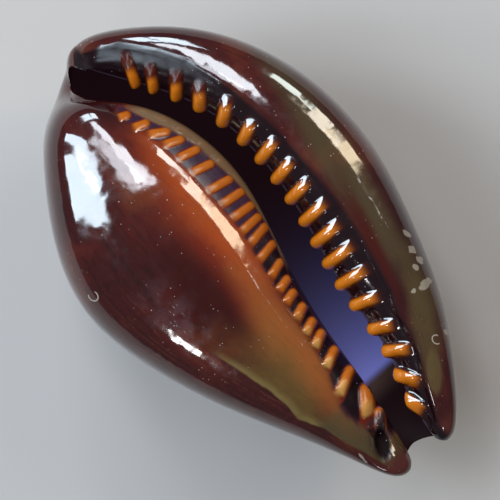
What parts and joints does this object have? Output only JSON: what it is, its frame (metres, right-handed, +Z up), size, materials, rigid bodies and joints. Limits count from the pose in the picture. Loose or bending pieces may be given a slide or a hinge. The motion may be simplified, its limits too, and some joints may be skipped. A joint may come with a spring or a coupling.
{
  "type": "cowrie shell",
  "caption": "Glossy dark cowrie shell lying on its back, with a narrow curved aperture between two toothed lips.",
  "frame": {"origin": "middle of the shell's outline, on the surface that its back rests on", "axes": "+X towards the front (anterior) end, +Y towards the outer lip, +Z up out of the aperture"},
  "size_m": [0.0406, 0.0244, 0.0202],
  "materials": {
    "shell": "polished"
  },
  "bodies": {
    "root": {"shell": "shell"}
  },
  "joints": []
}
